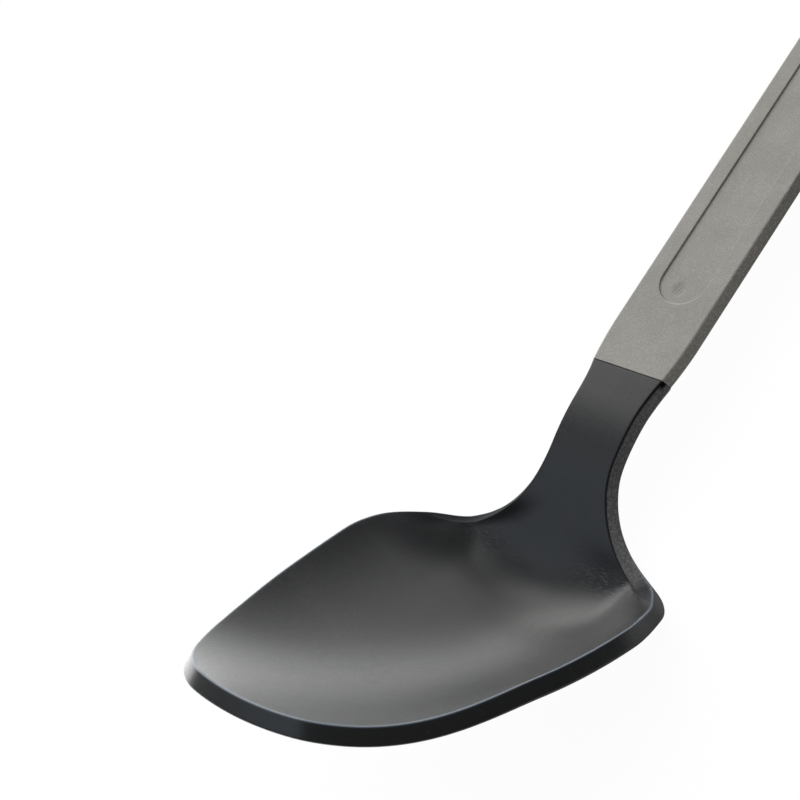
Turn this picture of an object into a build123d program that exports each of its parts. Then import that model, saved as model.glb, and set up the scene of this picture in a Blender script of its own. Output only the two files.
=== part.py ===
from build123d import *
import os
from math import asin, cos, degrees, exp, radians, sin, sqrt, tan

# Long-handled spoon: a one-piece dark head, whose neck ends in a tang, and a grey handle moulded round the tang.
# All lengths are in millimetres. Sizes are first given in the handle's own frame: x runs along the handle from
# the seam towards its hanging end, y runs across, and z is square to the flat front face. The last section lays
# the spoon down on its heel and on the end of its handle.

# Handle
handle_length = 205.0
handle_front_half = 9.0
handle_proud = 0.25
handle_depth = 7.0
side_spread = 1.3
side_depth = 1.8
back_lean = 4.4
back_edge_radius = 4.0
seam_taper_length = 10.0

# Long shallow recess in the handle's front face, with the round mark of the moulding gate at its lower end
recess_half = 5.25
recess_depth = 0.6
recess_start = 16.1
recess_hole_gap = 14.0
gate_mark_radius = 1.0
gate_mark_depth = 0.2
gate_mark_inset = 3.4

# Hanging hole
hole_radius = 4.0
hole_inset = 11.5
hole_chamfer = 0.5

# Tang of the head inside the handle, and its windows that the handle's pegs fill
tang_length = 72.0
tang_half = 5.0
tang_thickness = 3.0
tang_centre_depth = 3.7
tang_corner_radius = 2.5
tang_root = 2.0
tang_clearance = 0.1
window_radius = 2.4
window_first = 24.0
window_pitch = 28.0
window_count = 2

# Mid-line of the head's top face: distances along it are counted from the seam to the tip
neck_straight = 6.0
neck_bend_radius = 38.0
neck_drop_angle = 28.0
neck_slope_length = 10.3
heel_radius = 22.0
heel_rise_angle = 32.4
scoop_radius = 118.0

# Cross-section of the neck: a flat front, a side band that slopes outwards, and a crowned back
seam_front_half = 8.3
neck_half = 8.7
neck_depth = 6.2
seam_depth = 7.0
neck_band = 1.35
neck_band_depth = 2.2
neck_back_lean = 3.2
neck_crown = 1.2
neck_settle_length = 9.0
flare_start = 18.2
flare_radius = 21.5
flare_bend_run = 15.3
flare_section_shares = (0.3, 0.55, 0.75, 0.9, 1.0)
shoulder_start = 30.0
shoulder_droop_radius = 120.0
shoulder_splay = 1.2
neck_raise = 2.0

# Bowl
bowl_start = 37.6
sheet_thickness = 3.6
dish_radius = 49.5
dish_flat = 38.3
dish_settle_length = 2.7
tip_flatten_start = 82.0
tip_flatten_length = 48.0
tip_flatten_share = 0.5
blank_length = 138.0
blank_half = 38.0
neck_blank_extra = 5.0
neck_blank_run = 20.0
blank_rows = 80
blank_columns = 16
blank_fit = 0.01
blank_degree = 3

# Outline of the bowl's rim, seen square to its mean plane: tangent arcs from the back to the tip, and where each
# of them starts, as the angle in degrees between its direction and the line from back to tip
rim_tilt = 32.4
rim_back_along = 19.3
rim_back_rise = -24.0
rim_back_radius = 38.1
rim_shoulder_radius = 20.3
rim_side_radius = 223.7
rim_taper_radius = 71.1
rim_corner_radius = 20.6
rim_tip_corner_radius = 8.7
rim_headings = (-90.0, -44.4, 3.5, 13.7, 22.4, 57.6, 78.3)
wall_flare = 32.0
wall_above = 9.0
wall_below = 20.0

# One overrun serves every cut
overrun = 5.0

pitch_steps = 4
surface_tolerance = 0.05

half_turn = 180.0
quarter_turn = 90.0


def path_runs():
    bend = radians(neck_drop_angle)
    heel = radians(neck_drop_angle + heel_rise_angle)
    return [
        (neck_straight, 0.0),
        (neck_bend_radius * bend, -bend),
        (neck_slope_length, 0.0),
        (heel_radius * heel, heel),
    ]


# Plane square to the mid-line at a distance from the seam: its own x runs across and its own y points upwards
def station(distance):
    x, z, angle = 0.0, 0.0, 0.0
    runs = path_runs()
    scoop = distance - sum(length for length, turn in runs)
    runs.append((max(scoop, heel_radius), max(scoop, heel_radius) / scoop_radius))
    for length, turn in runs:
        step = min(distance, length)
        turned = turn * step / length
        if turn:
            radius = length / turn
            x -= radius * (sin(angle + turned) - sin(angle))
            z += radius * (cos(angle) - cos(angle + turned))
        else:
            x -= step * cos(angle)
            z += step * sin(angle)
        angle += turned
        distance -= step
    return Plane(origin=(x, 0, z), x_dir=(0, -1, 0), z_dir=(-cos(angle), 0, sin(angle)))


def smooth(share):
    share = min(max(share, 0.0), 1.0)
    return share * share * (3 - 2 * share)


# Curvature across the top face: none on the neck, slightly downwards at the shoulders, then the bowl's, which
# fades towards the tip
def cross_curvature(distance):
    shoulder = smooth((distance - shoulder_start) / (bowl_start - shoulder_start))
    grown = 1 - exp((dish_flat - distance) / dish_settle_length)
    faded = tip_flatten_share * smooth((distance - tip_flatten_start) / tip_flatten_length)
    return max(grown * (1 - faded) / dish_radius, -shoulder / shoulder_droop_radius)


# Thickness of the blank: the bowl's sheet, and more than the neck's depth where the neck is cut from it
def blank_thickness(distance):
    return sheet_thickness + neck_blank_extra * (1 - smooth((distance - flare_start) / neck_blank_run))


# Height of a circular arc over its lowest point, also for an arc that is flat or bends down
def arc_height(curvature, across):
    return curvature * across**2 / (1 + sqrt(1 - (curvature * across) ** 2))


# Smooth face through points of the blank: its top face, or the face that lies a thickness under it
def blank_face(thickness_share):
    rows = []
    for row in range(blank_rows + 1):
        distance = blank_length * row / blank_rows - overrun
        plane = station(distance)
        depth = thickness_share * blank_thickness(distance)
        curvature = cross_curvature(distance)
        curvature /= 1 + curvature * depth
        points = []
        for column in range(blank_columns + 1):
            across = blank_half * (2 * column / blank_columns - 1)
            points.append(plane.from_local_coords((across, arc_height(curvature, across) - depth, 0)))
        rows.append(points)
    return Face.make_surface_from_array_of_points(rows, tol=blank_fit, min_deg=blank_degree)


def head_blank():
    top, under = blank_face(0), blank_face(1)
    sides = []
    for edge in top.edges():
        nearest = under.edges().sort_by_distance(edge.center())[0]
        sides.append(Face.make_surface_from_curves(edge, nearest))
    return Part() + Solid(Shell([top, under] + sides))


# Widening of the neck towards the bowl: an arc that runs on straight, until the bowl's rim takes over
def flare(distance, radius):
    run = max(distance - flare_start, 0.0)
    bent = min(run, flare_bend_run)
    drop = sqrt(radius**2 - bent**2)
    return radius - drop + (run - bent) * bent / drop


# Half-width of the neck at the foot of its side band, with its settling from the seam
def neck_half_width(distance):
    settling = max(1 - distance / neck_settle_length, 0.0) ** 2
    return neck_half + (seam_front_half + side_spread - neck_half) * settling + flare(distance, flare_radius)


def front_half_width(distance):
    narrowing = flare(distance, flare_radius) - flare(distance, flare_radius + neck_band)
    return neck_half_width(distance) - neck_band - narrowing


# Section of the neck's outer shape, which the blank's top and under faces trim: its side bands run on upwards
def neck_section(distance):
    settling = max(1 - distance / neck_settle_length, 0.0) ** 2
    opening = max(distance - flare_start, 0.0) / (bowl_start - flare_start)
    depth = neck_depth + (seam_depth - neck_depth) * settling
    band_depth = neck_band_depth + (side_depth - neck_band_depth) * settling
    top_half = front_half_width(distance) - neck_band * neck_raise / band_depth
    widest = neck_half_width(distance)
    back_half = widest - neck_back_lean + (neck_back_lean + shoulder_splay) * opening**3
    top = Line((-top_half, neck_raise), (top_half, neck_raise))
    edge_depth = depth - neck_crown
    back = ThreePointArc((-back_half, -edge_depth), (0, -depth), (back_half, -edge_depth))
    sides = []
    for side in (-1, 1):
        foot = (side * widest, -band_depth)
        sides.append(Line((side * top_half, neck_raise), foot))
        sides.append(Line(foot, (side * back_half, -edge_depth)))
    return station(distance) * make_face(Curve() + [top, back] + sides)


# Rim outline in its own plane, with its back at the origin, grown outwards by a distance
def rim_outline(growth):
    back_radii = (rim_back_radius, rim_shoulder_radius, rim_side_radius)
    radii = back_radii + (rim_taper_radius, rim_corner_radius, rim_tip_corner_radius)
    point = Vector(-growth, 0)
    arcs = []
    for radius, heading, next_heading in zip(radii, rim_headings, rim_headings[1:]):
        tangent = (cos(radians(heading)), -sin(radians(heading)))
        arcs.append(JernArc(point, tangent, radius + growth, heading - next_heading))
        point = arcs[-1] @ 1
    last_turn = quarter_turn - rim_headings[-1]
    tangent = (cos(radians(rim_headings[-1])), -sin(radians(rim_headings[-1])))
    arcs.append(JernArc(point, tangent, point.Y / sin(radians(last_turn)), -last_turn))
    half = Curve() + arcs
    return make_face(half + mirror(half, about=Plane.XZ))


def rim_prism():
    tilt = radians(rim_tilt)
    along = Vector(-cos(tilt), 0, sin(tilt))
    up = Vector(sin(tilt), 0, cos(tilt))
    flare_share = tan(radians(wall_flare))
    levels = []
    for rise in (wall_above, -wall_below):
        origin = along * rim_back_along + up * (rim_back_rise + rise)
        level = Plane(origin=origin, x_dir=along, z_dir=up)
        levels.append(level * rim_outline(-rise * flare_share))
    return loft(levels, ruled=True)


def neck_prism():
    settle_stations = [0.0, neck_settle_length / 2, neck_settle_length, flare_start]
    flare_length = bowl_start - flare_start
    flare_stations = [flare_start + flare_length * share for share in flare_section_shares]
    return loft([neck_section(distance) for distance in settle_stations + flare_stations])


# Flat tang with rounded far corners, grown on every side but its root by a clearance
def tang_blank(clearance):
    length = tang_length + clearance
    outline = Rectangle(length + tang_root, 2 * (tang_half + clearance), align=(Align.MIN, Align.CENTER))
    far_corners = outline.vertices().sort_by(Axis.X)[-2:]
    outline = fillet(far_corners, tang_corner_radius + clearance)
    level = Plane((-tang_root, 0, -tang_centre_depth - tang_thickness / 2 - clearance))
    return extrude(level * outline, tang_thickness + 2 * clearance)


def tang_windows(radius):
    pins = []
    for index in range(window_count):
        place = Pos(window_first + index * window_pitch, 0, -tang_centre_depth)
        pins.append(place * Cylinder(radius, tang_thickness + 2 * overrun))
    return pins


def make_head():
    tang = tang_blank(0) - tang_windows(window_radius)
    return (head_blank() & (rim_prism() + neck_prism())) + tang


# Plan outline of the handle, grown outwards on its sides and round its end
def handle_outline(growth):
    half = handle_front_half + growth
    end_centre = handle_length - side_spread - handle_front_half
    edge = Line((end_centre, half), (seam_taper_length, half))
    taper = TangentArc((seam_taper_length, half), (0, seam_front_half + growth), tangent=(-1, 0))
    side = Curve() + [edge, taper]
    end = JernArc((end_centre, half), (1, 0), half, -half_turn)
    seam = Line((0, seam_front_half + growth), (0, -seam_front_half - growth))
    return make_face(side + mirror(side, about=Plane.XZ) + [end, seam])


def handle_body():
    front = Pos(0, 0, handle_proud) * handle_outline(0)
    widest = Pos(0, 0, -side_depth) * handle_outline(side_spread)
    back = Pos(0, 0, -handle_depth) * handle_outline(side_spread - back_lean)
    body = loft([front, widest], ruled=True) + loft([widest, back], ruled=True)
    back_face = body.faces().sort_by(Axis.Z)[0]
    back_edges = back_face.edges().sort_by(Axis.X)[1:]
    return fillet(back_edges, back_edge_radius)


def make_recess():
    end = handle_length - hole_inset - recess_hole_gap
    outline = SlotOverall(end - recess_start, 2 * recess_half)
    place = Pos((recess_start + end) / 2, 0, handle_proud - recess_depth)
    mark = Pos(recess_start + gate_mark_inset, 0, handle_proud - recess_depth)
    pocket = extrude(place * outline, recess_depth + overrun)
    return pocket + mark * Cylinder(gate_mark_radius, 2 * gate_mark_depth)


def make_handle():
    pocket = tang_blank(tang_clearance) - tang_windows(window_radius - tang_clearance)
    hole = Pos(handle_length - hole_inset, 0, 0) * Cylinder(hole_radius, 2 * (handle_depth + overrun))
    body = handle_body() - make_recess() - hole
    circles = body.edges().filter_by(GeomType.CIRCLE)
    rims = [edge for edge in circles if abs(edge.radius - hole_radius) < hole_chamfer]
    body = chamfer(rims, hole_chamfer)
    return body - pocket


# Points all over a part's surface, close enough together to give its true extent
def surface_points(part):
    return part.tessellate(surface_tolerance)[0]


# Pitch about y, in degrees, that brings the lowest places of the bowl and of the handle's end down to one level
def rest_pitch(parts):
    reach = handle_length + sum(length for length, turn in path_runs())
    pitch = 0
    for step in range(pitch_steps):
        head_low, handle_low = (min(point.Z for point in surface_points(Rot(0, pitch, 0) * part)) for part in parts)
        pitch += degrees(asin((handle_low - head_low) / reach))
    return pitch


def lay_down(parts):
    turn = Rot(0, rest_pitch(parts), 0)
    points = [point for part in parts for point in surface_points(turn * part)]
    runs = [point.X for point in points]
    place = Pos(-(min(runs) + max(runs)) / 2, 0, -min(point.Z for point in points)) * turn
    return [place * part for part in parts], place


head, handle = make_head(), make_handle()
(head, handle), laid = lay_down([head, handle])

os.makedirs("parts", exist_ok=True)
export_step(head, "parts/spoon_head.step")
export_step(handle, "parts/handle.step")

# Places that the record repeats
hole_place = laid * Pos(handle_length - hole_inset, 0, -handle_depth / 2)
print("pitch in degrees", laid.orientation.Y)
print("hanging hole centre", hole_place.position, "axis", Axis(hole_place).direction)
print("seam centre", (laid * Pos(0, 0, 0)).position)
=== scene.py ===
import bpy
import bmesh
import numpy as np
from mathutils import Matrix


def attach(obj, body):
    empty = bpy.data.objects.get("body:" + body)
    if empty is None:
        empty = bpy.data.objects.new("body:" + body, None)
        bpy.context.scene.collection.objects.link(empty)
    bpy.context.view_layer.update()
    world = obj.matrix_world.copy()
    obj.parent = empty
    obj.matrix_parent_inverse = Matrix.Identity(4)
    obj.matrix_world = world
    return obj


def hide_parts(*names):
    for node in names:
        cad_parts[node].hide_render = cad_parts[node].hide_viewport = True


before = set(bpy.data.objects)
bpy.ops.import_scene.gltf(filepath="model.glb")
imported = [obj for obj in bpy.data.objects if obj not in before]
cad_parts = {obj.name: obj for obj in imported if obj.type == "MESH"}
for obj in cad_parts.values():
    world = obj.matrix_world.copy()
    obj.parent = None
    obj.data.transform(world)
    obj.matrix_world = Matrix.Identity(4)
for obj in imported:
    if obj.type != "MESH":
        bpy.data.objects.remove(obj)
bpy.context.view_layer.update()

# Long-handled spoon. Sizes are in millimetres in the handle's own frame: x from the seam towards the hanging end,
# y across, z square to the flat front face. lay turns and moves them into the frame, where the spoon lies down, and
# flattens the edges that it lies on.
lay = {"pitch": 2.0025, "x": -52.376, "z": 13.952, "flat": 0.2}

# metres: points closer than this are joined, and shorter edges are dropped
weld = {"join": 2e-6, "drop": 1e-7}

view = {
    "place": (-219.16, -316.47, 432.96),   # millimetres, in the frame
    "turn": (34.992, 26.470, -54.437),     # degrees
    "lens": 130.5,
    "sensor": 36.0,
    "near": 0.01,                          # metres
    "far": 20.0,
}


# Numbers and lines

def ease(value, start, end):
    # 0 before start, 1 after end, and 3 share^2 - 2 share^3 between them
    share = np.clip((value - start) / (end - start), 0.0, 1.0)
    return share * share * (3 - 2 * share)


def bell(value, middle, reach):
    # 1 at the middle, falling off to both sides
    return np.exp(-(((value - middle) / reach) ** 2))


def softMax(a, b, width):
    # larger of two values, rounded over where they cross
    return (a + b + np.sqrt((a - b) ** 2 + width**2)) / 2


def bend(start, corner, end, steps):
    # quadratic curve from start to end that is drawn towards the corner; one row of points per start
    share = np.linspace(0, 1, steps)[None, :, None]
    start, corner, end = start[:, None], corner[:, None], end[:, None]
    return start * (1 - share) ** 2 + corner * 2 * share * (1 - share) + end * share**2


def runAlong(curve):
    # length of the line up to each of its points
    return np.concatenate([[0], np.cumsum(np.linalg.norm(np.diff(curve, axis=0), axis=1))])


def evenly(curve, spacing):
    # points along the line again, spacing apart
    run = runAlong(curve)
    marks = np.linspace(0, run[-1], int(run[-1] / spacing) + 1)
    return np.stack([np.interp(marks, run, curve[:, k]) for k in range(curve.shape[1])], -1)


def soften(values, rounds):
    # moves each value to the mean of itself and its neighbours, and keeps both ends
    for _ in range(rounds):
        values = np.concatenate([values[:1], (values[:-2] + 2 * values[1:-1] + values[2:]) / 4, values[-1:]])
    return values


def unit(vectors):
    # the same directions, with length 1
    return vectors / np.maximum(np.linalg.norm(vectors, axis=-1, keepdims=True), 1e-12)


def intoFrame(points):
    # turns by the pitch, moves, goes over to metres, and flattens what would lie below the floor
    pitch = np.radians(lay["pitch"])
    x = np.cos(pitch) * points[..., 0] + np.sin(pitch) * points[..., 2] + lay["x"]
    z = np.cos(pitch) * points[..., 2] - np.sin(pitch) * points[..., 0] + lay["z"]
    return np.stack([x, points[..., 1], softMax(z, 0.0, lay["flat"])], -1) / 1000


class Piece:
    # collects grids of points with values on them, then joins them into one closed mesh
    def __init__(self, name, values):
        self.name, self.valueNames = name, values
        self.points, self.faces, self.values, self.count = [], [], [], 0

    def add(self, grid, values=None):
        rows, columns = grid.shape[:2]
        place = self.count + np.arange(rows * columns).reshape(rows, columns)
        quads = np.stack([place[:-1, :-1], place[1:, :-1], place[1:, 1:], place[:-1, 1:]], -1).reshape(-1, 4)
        self.faces.append(quads)
        self.points.append(grid.reshape(-1, 3))
        filled = np.zeros((rows * columns, len(self.valueNames)))
        for k, valueName in enumerate(self.valueNames):
            if values and valueName in values:
                filled[:, k] = np.broadcast_to(values[valueName], (rows, columns)).reshape(-1)
        self.values.append(filled)
        self.count += rows * columns

    def build(self, body, node, material):
        mesh = bpy.data.meshes.new(self.name)
        mesh.from_pydata(intoFrame(np.concatenate(self.points)), [], np.concatenate(self.faces))
        values = np.concatenate(self.values)
        for k, valueName in enumerate(self.valueNames):
            layer = mesh.attributes.new(valueName, "FLOAT", "POINT")
            layer.data.foreach_set("value", values[:, k].astype(np.float32))
        work = bmesh.new()
        work.from_mesh(mesh)
        bmesh.ops.remove_doubles(work, verts=work.verts, dist=weld["join"])
        bmesh.ops.dissolve_degenerate(work, edges=work.edges, dist=weld["drop"])
        # only the flat section at the seam is still open: one face closes it
        ends = [edge for edge in work.edges if edge.is_boundary]
        bmesh.ops.holes_fill(work, edges=ends, sides=0)
        bmesh.ops.recalc_face_normals(work, faces=work.faces)
        work.to_mesh(mesh)
        openEdges = sum(not edge.is_manifold for edge in work.edges)
        work.free()
        mesh.shade_smooth()
        mesh.materials.append(material)
        piece = bpy.data.objects.new(self.name, mesh)
        bpy.context.scene.collection.objects.link(piece)
        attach(piece, body)
        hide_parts(node)
        print(self.name, "faces", len(mesh.polygons), "open edges", openEdges)


# Spoon head: bowl and neck

headSizes = {
    # mid-line of the top face, seam to tip
    "straight": 6.0, "bendRadius": 38.0, "bendAngle": 28.0, "slope": 10.3,
    "heelRadius": 22.0, "riseAngle": 32.4, "scoopRadius": 118.0, "scoopRun": 120.0,
    # neck, its side bands and the crease at their top
    "seamHalf": 9.6, "neckHalf": 8.7, "settleRun": 9.0, "flareStart": 18.2, "flareRadius": 21.5,
    "bandWidth": 1.35, "bandDepth": 2.2, "seamBandDepth": 1.8, "creaseSoft": 0.1,
    "bandFadeStart": 22.0, "bandFadeEnd": 28.0, "neckDepth": 6.2, "seamDepth": 6.6, "crown": 1.2, "backLean": 3.2,
    # bowl: the dish grows along the rim from riseStart, later and slower inside innerStart to innerEnd, and in the
    # middle from softStart on; the heel is dipDepth deeper than the arc that carries the edges
    "riseStart": 37.4, "riseLater": 4.5, "riseSettle": 3.9, "riseSoft": 0.05, "innerStart": 12.0, "innerEnd": 22.0,
    "softStart": 35.0, "softEnd": 57.0, "softHalf": 13.0, "softOuter": 26.0,
    "sheet": 3.6, "thinStart": 27.0, "thinEnd": 38.5, "dishRadius": 49.5, "dishStart": 39.6, "dishSettle": 2.7,
    "droopStart": 30.0, "droopEnd": 37.6, "droopRadius": 120.0, "droopSoft": 0.0015,
    "flatStart": 82.0, "flatEnd": 130.0, "flatShare": 0.5,
    "dipDepth": 0.8, "dipMiddle": 46.5, "dipRun": 11.6, "dipHalf": 30.0,
    # rim: tangent arcs in its own tilted plane, back to tip, and the square wall that flares out below it
    "rimTilt": 32.4, "rimAlong": 19.3, "rimRise": -24.0, "flare": 32.0,
    "rimRadii": (38.1, 20.3, 223.7, 71.1, 20.6, 8.7),
    "rimHeadings": (-90.0, -44.4, 3.5, 13.7, 22.4, 57.6, 78.3),
    "joinRun": 9.0, "joinSoft": 1.0, "joinStart": 21.5, "joinEnd": 25.0,
    "topEdge": 0.42, "neckTopEdge": 0.147, "topEdgeDrop": 1.2, "lowEdge": 0.45, "neckLowEdge": 1.8, "lowEdgeMost": 0.45,
    "wallStart": 30.0, "wallEnd": 38.5, "neckBulge": 0.25,
    # the two back corners of the wall, which are pushed out a little
    "cornerStart": (34.0, 37.0), "cornerEnd": (50.0, 56.0), "cornerSoft": 24,
    "cornerMiddle": 45.0, "cornerRun": 8.0, "cornerPush": 0.5,
    # where the search for the rim's edges begins and ends, and the walk along the mid-line
    "rimFrom": 34.0, "rimSearch": (-12.0, 22.0), "lowSearch": (-0.5, 14.0), "halvings": 36,
    "walkFrom": 50.0, "walkSteps": 16, "walkShare": 0.8, "walkMost": 6.0,
    # limits that keep the formulas in bounds away from the places where they are used
    "flareMost": 0.999, "grownLeast": -0.05, "underRoot": 0.01, "bandPast": -0.2, "riseBefore": -6.0,
    # mesh: rows are spacing apart and fan out towards the tip; columns gather at the crease, by these distances
    "spacing": 0.5, "edgeSoft": 6, "spineStart": 70.0, "spineReach": 35.0,
    "creaseLines": (-0.5, -0.3, -0.18, -0.09, 0.0, 0.09, 0.18, 0.3), "creaseEnd": (38.5, 41.0), "creaseShare": 0.88,
    "creaseMost": 0.97, "creaseNear": 8.0,
    "innerSteps": 28, "outerSteps": 7, "topBendSteps": 7, "wallSteps": 9, "lowBendSteps": 8, "underSteps": 30,
    "neckPoints": 160, "joinPoints": 300, "rimPoints": 1500, "arcPoints": 6, "joinGap": 0.05,
}

headMarks = {
    # places where a mark begins and has gone: along is a run on the mid-line, across a distance from it
    # farBand: the share of the band's paler colour that the far side keeps, painted shade that darkens the far band
    "bandEdge": 0.25, "bandAlong": (38.0, 42.0), "bandAcross": (18.5, 22.5), "bandOuter": (19.5, 24.5), "farBand": 0.2,
    # painted shade: dark line of the crease, wider at the seam, where it ends in a notch
    "line": 0.065, "lineSeam": 0.13, "lineRun": 7.0, "lineFade": (30.0, 36.0), "lineLoss": 0.6, "lineShift": 0.8,
    "notchAlong": (0.9, 2.0), "notchInner": 0.1, "notchOuter": (0.5, 0.8),
    # scuffs, at the foot of the neck and at the seam
    "scuff": {"along": 39.6, "across": 15.5, "length": 2.8, "width": 8.5, "share": 1.0}, "farScuff": 0.4,
    "seamScuff": 0.3, "seamScuffAlong": 4.5, "seamScuffRun": 4.0,
    # dull places: below the crease, at the foot of the neck, in the heel and on the far shoulder
    "dullGap": (1.2, 1.8), "dullAlong": (41.0, 45.0), "dullAcross": (20.5, 24.5),
    "foot": {"along": 36.5, "across": 13.5, "length": 3.2, "width": 6.5, "share": 0.84},
    "heel": {"along": 45.5, "across": 8.0, "length": 3.2, "width": 5.5, "share": 0.45},
    "shoulder": 1.28, "shoulderIn": (3.0, 9.0), "shoulderStart": (28.0, 33.0), "shoulderEnd": (41.0, 53.0),
}


def midLine(s):
    # straight runs and arcs one after another: x and height of the line, and its climb
    z = headSizes
    bendAngle, heelAngle = np.radians(z["bendAngle"]), np.radians(z["bendAngle"] + z["riseAngle"])
    runs = [(z["straight"], 0.0), (bendAngle * z["bendRadius"], -z["bendRadius"]), (z["slope"], 0.0),
            (heelAngle * z["heelRadius"], z["heelRadius"]), (z["scoopRun"], z["scoopRadius"])]
    s = np.asarray(s, float)
    x, height, climb = -np.minimum(s, 0.0), np.zeros_like(s), np.zeros_like(s)
    start, angle = 0.0, 0.0
    for length, radius in runs:
        step = np.clip(s - start, 0.0, length)
        if radius:
            x -= radius * (np.sin(angle + step / radius) - np.sin(angle))
            height += radius * (np.cos(angle) - np.cos(angle + step / radius))
            climb += step / radius
            angle += length / radius
        else:
            x -= step * np.cos(angle)
            height += step * np.sin(angle)
        start += length
    return x, height, climb


def onHead(s, y, lift):
    # place over the mid-line: s along it, y across, lift square to it
    x, height, climb = midLine(s)
    return np.stack([x + np.sin(climb) * lift, y + 0 * s, height + np.cos(climb) * lift], -1)


def offHead(points):
    # the other way round: walks s along the mid-line, from the heel, until it stands under the point
    z = headSizes
    s = np.full(points.shape[:-1], z["walkFrom"])
    for _ in range(z["walkSteps"]):
        x, height, climb = midLine(s)
        ahead = -np.cos(climb) * (points[..., 0] - x) + np.sin(climb) * (points[..., 2] - height)
        s = s + np.clip(ahead * z["walkShare"], -z["walkMost"], z["walkMost"])
    x, height, climb = midLine(s)
    lift = np.sin(climb) * (points[..., 0] - x) + np.cos(climb) * (points[..., 2] - height)
    return s, points[..., 1], lift


def settle(s):
    # 1 at the seam, and gone after settleRun
    return np.clip(1 - s / headSizes["settleRun"], 0, None) ** 2


def flareRise(s, radius):
    # how far the side has turned out along the arc of its flare
    run = np.clip(s - headSizes["flareStart"], 0.0, radius * headSizes["flareMost"])
    return radius - np.sqrt(radius**2 - run**2)


def neckHalf(s):
    # half width of the neck: a little wider at the seam, straight, then flaring into the bowl
    z = headSizes
    return z["neckHalf"] + (z["seamHalf"] - z["neckHalf"]) * settle(s) + flareRise(s, z["flareRadius"])


def creaseHalf(s):
    # half width of the flat front, inside the side bands
    z = headSizes
    wider = flareRise(s, z["flareRadius"] + z["bandWidth"]) - flareRise(s, z["flareRadius"])
    return neckHalf(s) - z["bandWidth"] + wider


def dishFlattening(s):
    # 1 in the bowl, less towards the tip, where the dish is flatter
    z = headSizes
    return 1 - z["flatShare"] * ease(s, z["flatStart"], z["flatEnd"])


def dishCurve(s):
    # curvature across the underside: none on the neck, drooping at the shoulders, full in the bowl
    z = headSizes
    shoulder = -ease(s, z["droopStart"], z["droopEnd"]) / z["droopRadius"]
    grown = (1 - np.exp(-(s - z["dishStart"]) / z["dishSettle"])) / z["dishRadius"]
    return softMax(np.maximum(grown, z["grownLeast"]) * dishFlattening(s), shoulder, z["droopSoft"])


def arcRise(curve, y):
    # height of an arc of this curvature, y away from its lowest point
    return curve * y**2 / (1 + np.sqrt(np.maximum(1 - (curve * y) ** 2, headSizes["underRoot"])))


def edgeGap(s, y):
    # distance from the neck's side line, whose flare is an arc
    z = headSizes
    ahead = np.maximum(s - z["flareStart"], 0)
    arc = np.hypot(ahead, z["flareRadius"] + z["neckHalf"] - np.abs(y)) - z["flareRadius"]
    return arc + (z["seamHalf"] - z["neckHalf"]) * settle(s)


def bandShown(y):
    # the side band fades where the neck has flared out into the bowl
    return 1 - ease(np.abs(y), headSizes["bandFadeStart"], headSizes["bandFadeEnd"])


def topLift(s, y):
    # flat neck that drops in a band along its sides; the dish grows fast under the rim and slowly in the middle
    z = headSizes
    depth = z["bandDepth"] + (z["seamBandDepth"] - z["bandDepth"]) * settle(s)
    over = z["bandWidth"] - np.maximum(edgeGap(s, y), z["bandPast"])
    band = -depth * bandShown(y) * (over + np.sqrt(over**2 + z["creaseSoft"] ** 2)) / 2 / z["bandWidth"]
    flatter = dishFlattening(s) / z["dishRadius"]
    inner = 1 - ease(np.abs(y), z["innerStart"], z["innerEnd"])
    begin, settling = z["riseStart"] + z["riseLater"] * inner, z["riseSettle"] * (1 + inner)
    grown = 1 - np.exp(-np.maximum(s - begin, z["riseBefore"]) / settling)
    atRim = flatter * softMax(grown, 0 * s, z["riseSoft"])
    inside = flatter * ease(s, z["softStart"], z["softEnd"])
    share = ease(np.abs(y), z["softHalf"], z["softOuter"])
    along = np.clip((s - z["dipMiddle"]) / z["dipRun"], -1, 1)
    dip = z["dipDepth"] * np.cos(along * np.pi / 2) ** 2 * np.clip(1 - (y / z["dipHalf"]) ** 2, 0, 1) ** 2
    return band + arcRise(atRim, y) * share + arcRise(inside, y) * (1 - share) - dip


def underLift(s, y):
    # neck: crowned back; bowl: the dish again, one sheet lower
    z = headSizes
    depth = z["neckDepth"] + (z["seamDepth"] - z["neckDepth"]) * settle(s)
    neck = -depth + z["crown"] * (y / (neckHalf(s) - z["backLean"])) ** 2
    thin = ease(s, z["thinStart"], z["thinEnd"])
    thick = z["neckDepth"] + (z["sheet"] - z["neckDepth"]) * thin
    curve = dishCurve(s)
    return neck * (1 - thin) + (arcRise(curve / (1 + curve * thick), y) - thick) * thin


def rimOutline(count):
    # chain of tangent arcs in the rim's plane, from its back round one side to the tip: places, outward directions
    z = headSizes
    headings = np.radians(np.append(z["rimHeadings"], 90.0))
    radii = list(z["rimRadii"])
    centres = [np.array([radii[0], 0.0])]
    for k in range(1, len(radii)):
        outward = np.array([np.sin(headings[k]), np.cos(headings[k])])
        centres.append(centres[-1] + (radii[k - 1] - radii[k]) * outward)
    # one more arc closes the tip: it meets the middle squarely
    outward = np.array([np.sin(headings[-2]), np.cos(headings[-2])])
    edge = centres[-1] + radii[-1] * outward
    radii.append(edge[1] / np.cos(headings[-2]))
    centres.append(edge - radii[-1] * outward)
    lengths = np.array(radii) * np.diff(headings)
    places, outwards = [], []
    for k, (radius, middle) in enumerate(zip(radii, centres)):
        steps = max(int(count * lengths[k] / lengths.sum()), z["arcPoints"])
        angle = np.linspace(headings[k], headings[k + 1], steps, endpoint=k == len(radii) - 1)
        outward = np.stack([np.sin(angle), np.cos(angle)], -1)
        places.append(middle + radius * outward)
        outwards.append(outward)
    return np.concatenate(places), np.concatenate(outwards)


def rimFrame():
    # the rim's plane: its direction along the bowl, the one square to it, and its origin
    tilt = np.radians(headSizes["rimTilt"])
    along = np.array([-np.cos(tilt), 0.0, np.sin(tilt)])
    up = np.array([np.sin(tilt), 0.0, np.cos(tilt)])
    return along, up, along * headSizes["rimAlong"] + up * headSizes["rimRise"]


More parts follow.
